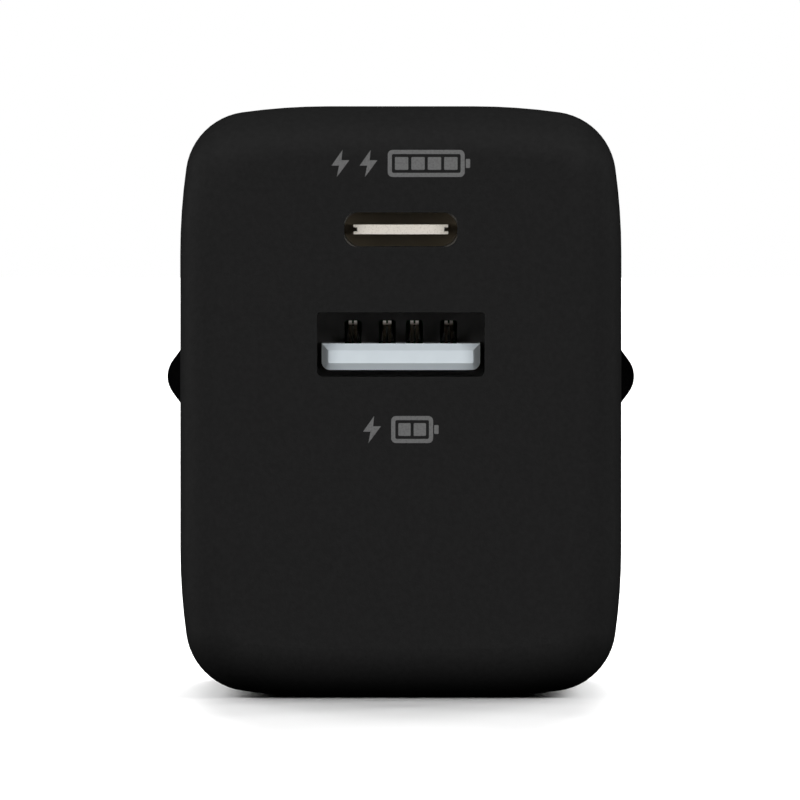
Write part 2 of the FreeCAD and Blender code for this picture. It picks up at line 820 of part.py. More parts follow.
def make_usb_a_port():
    """The USB-A receptacle: shell, black block, white tongue, four contact springs and their tails."""
    length = "output_board_depth - window_wall"
    wall = "2 * a_shell_wall"
    outer = block("a_shell_outer", f"a_opening_width + {wall}", length, f"a_opening_height + {wall}", "0",
                  "window_wall", "a_level")
    inner = block("a_shell_inner", "a_opening_width", length, "a_opening_height", "0", "window_wall",
                  "a_level")
    keep("usb_a_shell", cut("a_shell", outer, inner))

    blank = block("a_tongue_blank", "a_tongue_width", "output_board_depth - a_tongue_depth",
                  "a_tongue_height", "0", "a_tongue_depth", "a_tongue_level")
    along = runs_along(Vector(0, 1, 0))
    middle = size("a_tongue_level")
    softened = soften("Fillet", "a_tongue_soft", blank, "a_tongue_round",
                      lambda edge: along(edge) and edge.CenterOfMass.z < middle)
    tongue = soften("Chamfer", "a_tongue_bevelled", softened, "a_tongue_bevel",
                    lies_at_depth("a_tongue_depth"))
    back = block("a_back", "a_opening_width - slip", "output_board_depth - a_back_depth",
                 "a_opening_height - slip", "0", "a_back_depth", "a_level")
    slots = make_contact_slots(along)
    keep("usb_a_tongue", cut("a_tongue", tongue, *slots))
    keep("usb_a_insulator", cut("a_insulator", back, tongue, *slots))

    for number, side in enumerate(contact_sides(), start=1):
        make_contact_spring(number, side)
    tail_start = "(a_contact_root + a_contact_gap)"
    tail_length = f"{BOARD_REAR} + header_pin - {tail_start}"
    tails = [
        block(f"a_tail_{number}", "a_contact_width", tail_length, "a_contact_thickness", side, tail_start,
              f"{TONGUE_TOP} + a_contact_thickness")
        for number, side in enumerate(contact_sides(), start=1)
    ]
    return keep("usb_a_contact_tails", group("a_contact_tails", *tails))


def make_contact_spring(number, side):
    """One bowed contact spring: level at its root, up to a narrow split crown, and down into the groove."""
    body = doc.addObject("PartDesign::Body", f"usb_a_contact_spring_{number}")
    profile = new_sketch(body, f"spring_profile_{number}", plane="YZ_Plane", offset=side)
    thick = size("a_contact_thickness")
    top = size(TONGUE_TOP)
    tip_depth = "(a_tongue_depth + a_tongue_lip + slip * 2)"
    depths = ("a_contact_root", "a_knee_depth", "a_crown_depth", "a_toe_depth", tip_depth)
    root, knee, crown, toe, tip = (size(behind(depth)) for depth in depths)
    centreline = [
        (root, top + thick),
        (knee, top + thick),
        (crown, top + size("a_crown_rise")),
        (toe, top - thick),
        (tip, top - thick),
    ]
    bends = (0, size("a_knee_bend"), size("a_crown_bend"), size("a_toe_bend"), 0)
    draw_loop(profile, strip_outline(centreline, bends, thick))
    strip = pad(body, f"spring_pad_{number}", profile, "a_contact_width", back=False)
    strip.Midplane = True

    above = f"{TONGUE_TOP} + 2 * a_crown_rise"
    plan = new_sketch(body, f"spring_plan_{number}", plane="XY_Plane", offset=above)
    middle = size(side)
    beyond = tip - size("slip")
    edge = size("a_contact_width / 2 + slip")
    for sign in (-1, 1):
        near, far = middle + sign * size("a_crown_width / 2"), middle + sign * edge
        taper = size(behind("a_taper_depth"))
        shoulder = middle + sign * size("a_contact_width / 2")
        trimmed = ((near, beyond), (near, taper), (shoulder, knee), (far, knee), (far, beyond))
        draw_loop(plan, [(x, y, 0) for x, y in trimmed])
    slit = size("a_slit_width / 2")
    slit_end = size(behind("a_slit_depth"))
    split = ((-slit, beyond), (slit, beyond), (slit, slit_end), (-slit, slit_end))
    draw_loop(plan, [(middle + x, y, 0) for x, y in split])
    pocket(body, f"spring_trim_{number}", plan, "4 * a_crown_rise")
    keep(f"usb_a_contact_spring_{number}", body)


def strip_outline(centreline, radii, thick):
    """The closed outline of a bent strip, with each bend's inner and outer radius."""
    points = [Vector(y, z, 0) for y, z in centreline]
    upper, lower = [], []
    for number, here in enumerate(points):
        before = points[max(number - 1, 0)]
        after = points[min(number + 1, len(points) - 1)]
        into = (here - before) if number else (after - here)
        out = (after - here) if number < len(points) - 1 else into
        into.normalize()
        out.normalize()
        normal = Vector(-(into.y + out.y), into.x + out.x, 0).normalize()
        half = thick / 2 / math.cos(into.getAngle(out) / 2)
        turns_left = into.x * out.y - into.y * out.x > 0
        bend = thick / 2 if turns_left else -thick / 2
        radius = radii[number]
        left, right = here + normal * half, here - normal * half
        upper.append((left.x, left.y, radius - bend if radius else 0))
        lower.append((right.x, right.y, radius + bend if radius else 0))
    return upper + lower[::-1]


# ---- Boards ----------------------------------------------------------------------------------------


def make_boards(tails, coil_pins):
    """The output board behind the ports, the main board along one side, and the pins that join them."""
    height = "body_height - 2 * board_bottom"
    output = block("output_blank", "output_board_width", "output_board_thickness", height, "0",
                   "output_board_depth", "board_bottom", centred=(True, False, False))
    keep("output_board", cut("output_drilled", output, tails))
    main = block("main_blank", "main_board_thickness", "main_board_rear - main_board_front", height,
                 "main_board_left", "main_board_front", "board_bottom", centred=(False, False, False))
    keep("main_board", cut("main_drilled", main, coil_pins))
    pins = [
        block(f"header_pin_{number}", "header_pin", f"header_reach + main_board_front - {BOARD_REAR}",
              "header_pin", f"{BOARD_SIDE} + header_pin / 2", BOARD_REAR,
              f"{MID_LEVEL} + {step} * header_pitch")
        for number, step in enumerate(middle_first("header_count"), start=1)
    ]
    keep("board_header_pins", group("header_pins", *pins))
    keep("insulation_sheet", block("sheet", "sheet_thickness", "main_board_rear - main_board_front",
                                   f"{height} - 4 * rail_grip", "main_board_left - sheet_gap",
                                   "main_board_front", MID_LEVEL, centred=(False, False, True)))


def make_moulded_parts():
    """The chips and box-shaped parts on both boards, each with bevelled top edges."""
    along, upward = runs_along(Vector(0, 1, 0)), runs_along(Vector(0, 0, 1))
    for name in MAIN_BOARD_PARTS:
        body = block(f"{name}_block", f"{name}_tall", f"{name}_long", f"{name}_wide", BOARD_SIDE,
                     f"{name}_depth", f"{name}_level", centred=(False, True, True))
        keep(name, soften("Chamfer", f"{name}_bevelled", body, f"{name}_tall / 12", along))
    for name in OUTPUT_BOARD_PARTS:
        body = block(f"{name}_block", f"{name}_wide", f"{name}_thick", f"{name}_high", f"{name}_side",
                     BOARD_REAR, f"{name}_level")
        keep(name, soften("Chamfer", f"{name}_bevelled", body, f"{name}_thick / 12", upward))


def make_ceramic_capacitors():
    """Two rows of small ceramic capacitors beside the controllers."""
    chips = [
        block(f"ceramic_{row + 1}_{column + 1}", "chip_width", "chip_width", "chip_length",
              f"pd_controller_side + chip_offset + {column} * chip_pitch", BOARD_REAR,
              f"buck_controller_level + {row} * chip_row_pitch")
        for row in range(int(size("chip_rows")))
        for column in (0, 1)
    ]
    keep("ceramic_capacitors", group("ceramics", *chips))


# ---- Transformer -----------------------------------------------------------------------------------


def coil_ring(name, inner, outer, length, start):
    """A rectangular ring around the transformer's centre leg. Its corners are round about the leg's own."""
    blocks = []
    for part, reach in (("outer", outer), ("inner", inner)):
        ring = block(f"{name}_{part}", length, f"core_leg + 2 * ({reach})", f"core_width + 2 * ({reach})",
                     start, "core_depth", "core_level", centred=(False, True, True))
        blocks.append(soften("Fillet", f"{name}_{part}_soft", ring, reach, runs_along(Vector(1, 0, 0))))
    return cut(name, *blocks)


def make_core_half(name, start, opening):
    """Half of the ferrite core: a back, two side legs and a centre leg."""
    half = block(f"{name}_block", "core_half", "core_length", "core_width", start, "core_depth",
                 "core_level", centred=(False, True, True))
    window = "((core_length - core_leg - 2 * core_back) / 2)"
    cuts = [
        block(f"{name}_window_{number}", "core_half - core_back", window, "core_width", opening,
              f"core_depth + {side} * (core_leg + {window}) / 2", "core_level", centred=(False, True, True))
        for number, side in enumerate((-1, 1), start=1)
    ]
    keep(name, cut(name + "_cut", half, *cuts))


def make_transformer():
    """The transformer: core halves, bobbin, two windings, an outer tape and its pins."""
    low = f"({BOARD_SIDE} + core_lift)"
    make_core_half("transformer_core_lower", low, f"{low} + core_back")
    make_core_half("transformer_core_upper", f"{low} + core_half", f"{low} + core_half")

    tube_start = f"({low} + core_back)"
    tube_length = "(2 * (core_half - core_back))"
    inside = "winding_gap"
    outside = "(winding_gap + bobbin_wall)"
    sleeve = coil_ring("bobbin_tube", inside, outside, tube_length, tube_start)
    reach = f"({outside} + bobbin_flange_reach - winding_gap)"
    flanges = [
        coil_ring(f"bobbin_flange_{number}", inside, reach, "bobbin_wall", start)
        for number, start in enumerate((tube_start, f"{tube_start} + {tube_length} - bobbin_wall"), start=1)
    ]
    rail_level = f"(core_width / 2 + {reach} - coil_rail_width / 2)"
    rails = [
        block(f"bobbin_rail_{number}", "core_lift + core_back - winding_gap",
              "core_leg + 2 * bobbin_flange_reach", "coil_rail_width", f"{BOARD_SIDE} + winding_gap",
              "core_depth", f"core_level + {side} * {rail_level}", centred=(False, True, True))
        for number, side in enumerate((-1, 1), start=1)
    ]
    pins = [
        rod(f"coil_pin_{row}_{number}", "x", "coil_pin_radius", "main_board_thickness + core_lift",
            "main_board_left", f"core_depth + {step} * coil_pin_pitch", f"core_level + {side} * {rail_level}")
        for row, side in enumerate((-1, 1), start=1)
        for number, step in enumerate(middle_first("coil_pins_in_row"), start=1)
    ]
    pin_group = group("coil_pins", *pins)
    keep("transformer_bobbin", cut("bobbin", join("bobbin_body", sleeve, *flanges, *rails), pin_group))
    keep("transformer_pins", pin_group)

    start = f"({tube_start} + bobbin_wall)"
    length = f"({tube_length} - 2 * bobbin_wall)"
    edge = outside
    layers = (
        ("transformer_primary_winding", "primary_thickness"),
        ("transformer_secondary_winding", "secondary_thickness"),
        ("transformer_tape", "tape_thickness"),
    )
    for name, thickness in layers:
        outer_edge = f"({edge} + {thickness})"
        keep(name, coil_ring(f"{name}_ring", edge, outer_edge, length, start))
        edge = outer_edge
    return pin_group


# ---- Round parts -----------------------------------------------------------------------------------


def make_bulk_capacitor(number, level):
    """One large electrolytic capacitor standing on the main board: can, sleeve and rubber seal."""
    seal_start = f"({BOARD_SIDE} + bulk_crimp)"
    can = rod(f"bulk_can_{number}", "x", "bulk_radius", "bulk_length", BOARD_SIDE, "bulk_depth", level)
    soft = soften("Fillet", f"bulk_can_soft_{number}", can, "bulk_crimp", lambda edge: edge.Closed)
    cup = rod(f"bulk_cup_{number}", "x", "bulk_radius - bulk_crimp", "bulk_seal_depth + bulk_crimp",
              BOARD_SIDE, "bulk_depth", level)
    keep(f"bulk_capacitor_can_{number}", cut(f"bulk_can_open_{number}", soft, cup))
    sleeve = tube(f"bulk_sleeve_{number}", "x", "bulk_radius + bulk_sleeve_wall", "bulk_radius",
                  "bulk_length - 2 * bulk_crimp", seal_start, "bulk_depth", level)
    keep(f"bulk_capacitor_sleeve_{number}", sleeve)
    seal = rod(f"bulk_seal_{number}", "x", "bulk_radius - bulk_crimp", "bulk_seal_depth", seal_start,
               "bulk_depth", level)
    leads = [
        rod(f"bulk_lead_{number}_{side}", "x", "bulk_lead_radius", "bulk_crimp + bulk_seal_depth", BOARD_SIDE,
            f"bulk_depth + {sign} * bulk_lead_spacing / 2", level)
        for side, sign in ((1, -1), (2, 1))
    ]
    keep(f"bulk_capacitor_seal_{number}", cut(f"bulk_seal_bored_{number}", seal, *leads))
    return leads


def make_round_capacitors():
    """The bulk capacitors with their leads, the polymer capacitors, and the two disc-shaped parts."""
    leads = make_bulk_capacitor(1, "bulk_low_level") + make_bulk_capacitor(2, "bulk_high_level")
    keep("bulk_capacitor_leads", group("bulk_leads", *leads))
    for number in range(int(size("polymer_count"))):
        can = rod(f"polymer_{number + 1}", "y", "polymer_radius", "polymer_length", "polymer_side",
                  BOARD_REAR, f"polymer_low_level + {number} * polymer_pitch")
        end = lies_at_depth(f"{BOARD_REAR} + polymer_length")
        keep(f"output_capacitor_{number + 1}", soften("Fillet", f"polymer_soft_{number + 1}", can,
                                                      "bulk_crimp", end))
    for name in ("y_capacitor", "varistor"):
        disc = rod(f"{name}_disc", "y", "disc_radius", "disc_thickness", f"{BOARD_SIDE} + disc_radius",
                   "disc_depth", f"{name}_level")
        keep(name, soften("Fillet", f"{name}_soft", disc, "disc_thickness / 3", lambda edge: edge.Closed))


def make_choke():
    """The common-mode choke: a ring core with two groups of turns, and the fuse beside it."""
    middle = f"{BOARD_SIDE} + choke_ring + choke_core_radius + 2 * choke_wire + slip"
    core = doc.addObject("Part::Torus", "choke_ring_core")
    bind(core, Radius1="choke_ring", Radius2="choke_core_radius")
    put(core, middle, "choke_depth", "choke_level")
    keep("choke_core", core)
    turns = []
    for side in (0, 180):
        for number in range(int(size("choke_half_turns"))):
            angle = side + (number - (size("choke_half_turns") - 1) / 2) * size("choke_turn_angle")
            turn = doc.addObject("Part::Torus", f"choke_turn_{len(turns) + 1}")
            bind(turn, Radius1="choke_core_radius + choke_wire + slip / 2", Radius2="choke_wire")
            spin = FreeCAD.Rotation(Vector(0, 0, 1), angle)
            turn.Placement.Rotation = spin * FreeCAD.Rotation(Vector(1, 0, 0), 90)
            along, across = math.cos(math.radians(angle)), math.sin(math.radians(angle))
            put(turn, f"{middle} + {along:.9f} * choke_ring", f"choke_depth + {across:.9f} * choke_ring",
                "choke_level")
            turns.append(turn)
    keep("choke_windings", group("choke_turns", *turns))
    fuse = rod("fuse_tube", "z", "fuse_radius", "fuse_length", "fuse_side", "fuse_depth", "board_bottom")
    keep("input_fuse", soften("Fillet", "fuse_soft", fuse, "slip", lambda edge: edge.Closed))


def make_heat_path():
    """The heat spreader along the side wall, and the soft pad between it and the transformer."""
    keep("heat_spreader", block("spreader", "spreader_thickness", "spreader_rear - spreader_front",
                                "spreader_top - spreader_bottom", "spreader_side", "spreader_front",
                                "spreader_bottom", centred=(False, False, False)))
    core_top = f"({BOARD_SIDE} + core_lift + 2 * core_half)"
    keep("thermal_pad", block("pad_block", f"spreader_side - {core_top}", "pad_length", "pad_width",
                              core_top, "core_depth", "core_level", centred=(False, True, True)))


def check_and_export():
    """Check every object, then write each sub-part to its own file."""
    doc.recompute()
    failed = [thing.Name for thing in doc.Objects if {"Invalid", "Error"} & set(thing.State)]
    if failed:
        raise RuntimeError("failed: " + ", ".join(failed))
    for part in subparts:
        if part.Shape.isNull() or not part.Shape.isValid():
            raise RuntimeError(f"{part.Label} has no valid shape")
    os.makedirs("parts", exist_ok=True)
    for part in subparts:
        part.Shape.exportStep(f"parts/{part.Label}.step")
    print(len(subparts), "sub-parts written")


write_sheet()
make_front_housing()
make_rear_cover()
for pin_side, pole in ((-1, "live"), (1, "neutral")):
    make_pin(f"{pole}_pin", pin_side)
    make_pin_sleeve(f"{pole}_pin_sleeve", pin_side)
make_pin_carrier()
make_leads()
make_usb_c_port()
contact_tails = make_usb_a_port()
transformer_pins = make_transformer()
make_boards(contact_tails, transformer_pins)
make_moulded_parts()
make_ceramic_capacitors()
make_round_capacitors()
make_choke()
make_heat_path()
check_and_export()
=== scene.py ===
import json
import math

import bmesh
import bpy
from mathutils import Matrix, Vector


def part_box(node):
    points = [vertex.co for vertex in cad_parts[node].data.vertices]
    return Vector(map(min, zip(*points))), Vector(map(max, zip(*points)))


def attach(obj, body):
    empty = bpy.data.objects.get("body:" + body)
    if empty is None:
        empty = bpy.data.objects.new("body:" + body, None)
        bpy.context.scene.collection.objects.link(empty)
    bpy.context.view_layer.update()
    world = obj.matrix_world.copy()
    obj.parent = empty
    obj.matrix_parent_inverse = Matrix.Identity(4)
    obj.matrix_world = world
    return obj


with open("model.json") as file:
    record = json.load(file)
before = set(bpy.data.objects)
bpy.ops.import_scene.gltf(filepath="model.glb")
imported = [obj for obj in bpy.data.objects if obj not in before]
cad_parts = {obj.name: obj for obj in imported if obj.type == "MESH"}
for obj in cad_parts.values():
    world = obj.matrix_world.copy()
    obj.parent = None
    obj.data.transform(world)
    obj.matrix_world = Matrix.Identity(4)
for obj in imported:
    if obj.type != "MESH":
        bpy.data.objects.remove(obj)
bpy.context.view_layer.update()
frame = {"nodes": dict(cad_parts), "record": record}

MM = 0.001
NODES = frame["nodes"]
SLOTS = {part["node"]: part["material_slot"] for part in frame["record"]["subparts"]}
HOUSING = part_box("front_housing")
FACE_Y = HOUSING[0].y
MIDDLE_Z = (HOUSING[0].z + HOUSING[1].z) / 2


# ---- Materials -------------------------------------------------------------------------------------

C_SHADE_DEPTH = 7 * MM  # how deep in the USB-C port the painted shade turns the plastic dark brown
C_SHADE_BLEND = 0.8 * MM
CROWN_GLINT_DEPTH = 0.35 * MM  # how far down from their crowns the contacts are painted bright as a painted glint
MIX_FACTOR, MIX_FIRST, MIX_SECOND = 0, 6, 7  # a Mix node's input sockets for colours
MIX_RESULT = 2  # and its output socket
WAVE_RADIANS = 20  # what a Wave node's bands turn through in one unit, at a scale of 1


class Surface:
    """A material in the making: its shader and the nodes that feed it. Lengths are in millimetres."""

    def __init__(self, name, colour, roughness, metallic=0.0):
        self.material = bpy.data.materials.new(name)
        self.material.use_nodes = True
        self.tree = self.material.node_tree
        self.shader = self.tree.nodes["Principled BSDF"]
        self.colour = (*colour, 1.0)
        self.set("Base Color", self.colour)
        self.set("Roughness", roughness)
        self.set("Metallic", metallic)
        self.place = self.tree.nodes.new("ShaderNodeTexCoord").outputs["Object"]
        self.normal = None

    def set(self, socket, value):
        """Set one of the shader's own sockets."""
        self.shader.inputs[socket].default_value = value

    def link(self, source, target):
        """Join two sockets."""
        self.tree.links.new(source, target)

    def node(self, kind, **inputs):
        """A new node with some of its inputs set."""
        made = self.tree.nodes.new(kind)
        for key, value in inputs.items():
            made.inputs[key.replace("_", " ")].default_value = value
        return made

    def stretched(self, stretch):
        """The place on the object, drawn out along an axis by small numbers in stretch."""
        mapping = self.node("ShaderNodeMapping", Scale=stretch)
        self.link(self.place, mapping.inputs["Vector"])
        return mapping.outputs["Vector"]

    def along(self, axis):
        """How far along an axis of the shared frame, in metres."""
        split = self.node("ShaderNodeSeparateXYZ")
        self.link(self.place, split.inputs["Vector"])
        return split.outputs[axis]

    def noise(self, grain, detail=2.0, stretch=(1, 1, 1)):
        """Soft noise whose lumps are about as large as the grain."""
        made = self.node("ShaderNodeTexNoise", Scale=1 / (grain * MM), Detail=detail)
        self.link(self.stretched(stretch), made.inputs["Vector"])
        return made.outputs["Fac"]

    def cells(self, grain, stretch=(1, 1, 1), feature="F1"):
        """Distance to scattered points that are about a grain apart."""
        made = self.node("ShaderNodeTexVoronoi", Scale=1 / (grain * MM))
        made.feature = feature
        self.link(self.stretched(stretch), made.inputs["Vector"])
        return made.outputs["Distance"]

    def waves(self, spacing, axis, wobble=0.0):
        """Evenly spaced ridges along an axis."""
        scale = 2 * math.pi / (WAVE_RADIANS * spacing * MM)
        made = self.node("ShaderNodeTexWave", Scale=scale, Distortion=wobble)
        made.bands_direction = axis
        self.link(self.place, made.inputs["Vector"])
        return made.outputs["Fac"]

    def ramp(self, source, low, high, start=0.3, stop=0.7):
        """Map a source from start to stop onto low to high."""
        made = self.node("ShaderNodeMapRange", From_Min=start, From_Max=stop, To_Min=low, To_Max=high)
        self.link(source, made.inputs["Value"])
        return made.outputs["Result"]

    def tint(self, source, other, start=0.3, stop=0.7):
        """Mix another colour in where the source is high."""
        mix = self.tree.nodes.new("ShaderNodeMix")
        mix.data_type = "RGBA"
        base = self.shader.inputs["Base Color"]
        if base.links:
            self.link(base.links[0].from_socket, mix.inputs[MIX_FIRST])
        else:
            mix.inputs[MIX_FIRST].default_value = self.colour
        mix.inputs[MIX_SECOND].default_value = (*other, 1.0)
        self.link(self.ramp(source, 0.0, 1.0, start, stop), mix.inputs[MIX_FACTOR])
        self.link(mix.outputs[MIX_RESULT], base)

    def polish(self, source, low, high):
        """Vary the roughness with a source."""
        self.link(self.ramp(source, low, high), self.shader.inputs["Roughness"])

    def relief(self, source, height, strength=1.0):
        """Raise the surface by a height in millimetres where the source is high."""
        bump = self.node("ShaderNodeBump", Strength=strength, Distance=height * MM)
        self.link(source, bump.inputs["Height"])
        if self.normal:
            self.link(self.normal, bump.inputs["Normal"])
        self.normal = bump.outputs["Normal"]
        self.link(self.normal, self.shader.inputs["Normal"])


def darker(colour, share):
    """A colour scaled towards black."""
    return tuple(part * share for part in colour)


def housing_plastic():
    """Black polycarbonate with a fine spark-eroded texture."""
    surface = Surface("housing_plastic", (0.009, 0.009, 0.009), 0.6)
    surface.set("Specular IOR Level", 0.05)
    fine = surface.noise(0.16, 3.0)
    surface.tint(surface.noise(0.35, 2.0), (0.011, 0.011, 0.011))
    surface.polish(surface.noise(0.8), 0.6, 0.66)
    surface.relief(fine, 0.02, 0.5)
    surface.relief(surface.cells(0.3), 0.01, 0.3)
    return surface.material


def cover_plastic():
    """Polished black plastic with the faintest moulded ripple and handling dust."""
    surface = Surface("cover_plastic", (0.004, 0.004, 0.0045), 0.12)
    surface.set("Specular IOR Level", 0.45)
    surface.tint(surface.noise(0.5, 4.0), (0.012, 0.012, 0.0125), 0.55, 0.85)
    surface.polish(surface.noise(1.2, 3.0), 0.11, 0.15)
    surface.relief(surface.noise(5.0), 0.004, 0.3)
    return surface.material


def plain_plastic(name, colour, grain=0.3, roughness=0.5):
    """Moulded plastic with a fine texture and a little uneven colour."""
    surface = Surface(name, colour, roughness)
    surface.tint(surface.noise(2.0, 3.0), darker(colour, 0.82))
    surface.polish(surface.noise(grain, 3.0), roughness - 0.08, roughness + 0.1)
    surface.relief(surface.noise(grain, 3.0), 0.01, 0.5)
    return surface.material


def pin_metal():
    """Bright nickel plating with fine scratches along the pins from being pushed in."""
    surface = Surface("pin_metal", (0.66, 0.64, 0.6), 0.22, 1.0)
    scratches = surface.noise(0.12, 4.0, stretch=(1, 0.03, 1))
    surface.tint(scratches, (0.5, 0.48, 0.44), 0.5, 0.8)
    surface.polish(scratches, 0.14, 0.32)
    surface.relief(scratches, 0.003, 0.4)
    return surface.material


def lead_insulation():
    """Soft red insulation with a slightly waxy skin."""
    surface = Surface("lead_insulation", (0.5, 0.02, 0.015), 0.45)
    surface.tint(surface.noise(1.0, 3.0), (0.35, 0.012, 0.01))
    surface.polish(surface.noise(0.4, 2.0), 0.38, 0.55)
    surface.relief(surface.noise(0.25, 3.0), 0.01, 0.4)
    return surface.material


def circuit_board():
    """Green solder mask over copper tracks, with the glass weave just showing."""
    surface = Surface("circuit_board", (0.01, 0.07, 0.025), 0.35)
    tracks = surface.cells(2.4, stretch=(1, 1, 0.35), feature="DISTANCE_TO_EDGE")
    surface.tint(tracks, (0.02, 0.13, 0.045), 0.06, 0.1)
    surface.polish(surface.noise(0.6, 2.0), 0.28, 0.45)
    surface.relief(surface.ramp(tracks, 0, 1, 0.06, 0.1), 0.035, 0.6)
    surface.relief(surface.waves(0.5, "Y"), 0.004, 0.3)
    surface.relief(surface.waves(0.5, "Z"), 0.004, 0.3)
    return surface.material


def sheet_metal(name, colour, roughness, grain=0.08, stretch=(1, 0.05, 1)):
    """Rolled sheet metal with its grain drawn out along one axis."""
    surface = Surface(name, colour, roughness, 1.0)
    rolled = surface.noise(grain, 3.0, stretch)
    surface.tint(rolled, darker(colour, 0.75))
    surface.polish(rolled, roughness - 0.08, roughness + 0.12)
    surface.relief(rolled, 0.003, 0.4)
    return surface.material


def port_a_plastic():
    """Cool white moulded plastic of the USB-A tongue."""
    surface = Surface("port_a_plastic", (0.84, 0.92, 0.97), 0.4)
    surface.tint(surface.noise(1.6, 2.0), (0.8, 0.88, 0.93))
    surface.polish(surface.noise(0.5, 2.0), 0.34, 0.5)
    surface.relief(surface.noise(0.2, 2.0), 0.006, 0.4)
    return surface.material


def port_c_plastic():
    """Warm white USB-C tongue, speckled with glass fibre, painted dark brown deep in the port as painted
    shade.
    """
    surface = Surface("port_c_plastic", (0.92, 0.86, 0.76), 0.45)
    surface.tint(surface.noise(0.12, 2.0), (0.74, 0.68, 0.59), 0.5, 0.8)
    # painted shade: past a given depth the plastic is painted dark brown, for the dark deep in the port
    base = FACE_Y + C_SHADE_DEPTH
    surface.tint(surface.along("Y"), (0.2, 0.16, 0.1), base - C_SHADE_BLEND, base)
    surface.polish(surface.noise(0.3, 2.0), 0.38, 0.55)
    surface.relief(surface.noise(0.1, 2.0), 0.008, 0.5)
    return surface.material


def contact_metal():
    """Polished plating, with a painted glint: the crowns painted near-white and satin where a plug wipes
    over them.
    """
    surface = Surface("contact_metal", (0.3, 0.27, 0.22), 0.1, 1.0)
    surface.tint(surface.noise(0.15, 3.0, stretch=(1, 0.05, 1)), (0.2, 0.18, 0.14), 0.5, 0.8)
    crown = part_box("usb_a_contact_spring_1")[1].z
    # painted glint: the top of each crown is painted near-white and made rough so that it catches light
    painted_glint = surface.ramp(surface.along("Z"), 0.0, 1.0, crown - CROWN_GLINT_DEPTH, crown)
    surface.tint(painted_glint, (0.95, 0.93, 0.88), 0.0, 1.0)
    surface.link(surface.ramp(painted_glint, 0.12, 0.8, 0.0, 0.5), surface.shader.inputs["Roughness"])
    surface.relief(surface.noise(0.1, 3.0), 0.002, 0.4)
    return surface.material


def ferrite():
    """Grey-black sintered ferrite with small pits."""
    surface = Surface("ferrite", (0.03, 0.03, 0.033), 0.55)
    surface.tint(surface.noise(0.4, 4.0), (0.06, 0.058, 0.06), 0.5, 0.8)
    surface.polish(surface.noise(0.8, 3.0), 0.4, 0.65)
    surface.relief(surface.cells(0.35), 0.02, 0.5)
    return surface.material


def enamelled_copper():
    """Rows of enamelled copper wire, wound side by side."""
    surface = Surface("enamelled_copper", (0.55, 0.19, 0.06), 0.28, 0.85)
    turns = surface.waves(0.4, "X", 0.3)
    # painted shade: the valleys between turns are painted darker
    surface.tint(turns, (0.25, 0.07, 0.02), 0.7, 0.3)
    surface.polish(surface.noise(0.6, 2.0), 0.2, 0.36)
    surface.relief(turns, 0.15, 0.8)
    return surface.material


def coil_tape():
    """Thin yellow polyester tape over the turns beneath it."""
    surface = Surface("coil_tape", (0.72, 0.48, 0.03), 0.28)
    surface.tint(surface.noise(1.5, 3.0), (0.6, 0.36, 0.02))
    surface.polish(surface.noise(1.0, 3.0), 0.2, 0.4)
    surface.relief(surface.waves(0.45, "X", 0.6), 0.03, 0.5)
    surface.relief(surface.noise(2.0, 3.0), 0.05, 0.4)
    return surface.material


def can_sleeve():
    """Dark blue shrink sleeve, drawn slightly uneven round its can."""
    surface = Surface("can_sleeve", (0.008, 0.014, 0.05), 0.3)
    surface.tint(surface.noise(1.2, 3.0), (0.014, 0.024, 0.075))
    surface.polish(surface.noise(1.0, 3.0), 0.22, 0.42)
    surface.relief(surface.noise(1.6, 2.0, stretch=(0.3, 1, 1)), 0.03, 0.5)
    return surface.material


def rubbery(name, colour):
    """Matte rubber with a fine crumb."""
    surface = Surface(name, colour, 0.75)
    surface.tint(surface.noise(0.6, 4.0), darker(colour, 0.7))
    surface.polish(surface.noise(0.4, 3.0), 0.65, 0.85)
    surface.relief(surface.noise(0.2, 4.0), 0.02, 0.6)
    return surface.material


def glossy_part(name, colour):
    """A dipped or cast part with a smooth, slightly wavy skin."""
    surface = Surface(name, colour, 0.25)
    surface.tint(surface.noise(1.0, 3.0), darker(colour, 0.75))
    surface.polish(surface.noise(0.8, 2.0), 0.18, 0.36)
    surface.relief(surface.noise(1.4, 2.0), 0.03, 0.4)
    return surface.material


def ceramic_chip():
    """Tan fired ceramic between two tinned ends."""
    surface = Surface("ceramic_chip", (0.42, 0.3, 0.2), 0.4)
    surface.tint(surface.noise(0.3, 3.0), (0.34, 0.23, 0.15))
    surface.polish(surface.noise(0.2, 3.0), 0.32, 0.5)
    surface.relief(surface.noise(0.15, 3.0), 0.01, 0.5)
    return surface.material


def print_ink():
    """Grey pad-printed ink, a little thin where the texture beneath it stands up."""
    surface = Surface("print_ink", (0.112, 0.112, 0.112), 0.6)
    surface.set("Specular IOR Level", 0.25)
    surface.tint(surface.noise(0.16, 3.0), (0.08, 0.08, 0.08), 0.45, 0.75)
    surface.polish(surface.noise(0.5), 0.55, 0.68)
    surface.relief(surface.noise(0.16, 3.0), 0.01, 0.5)
    return surface.material


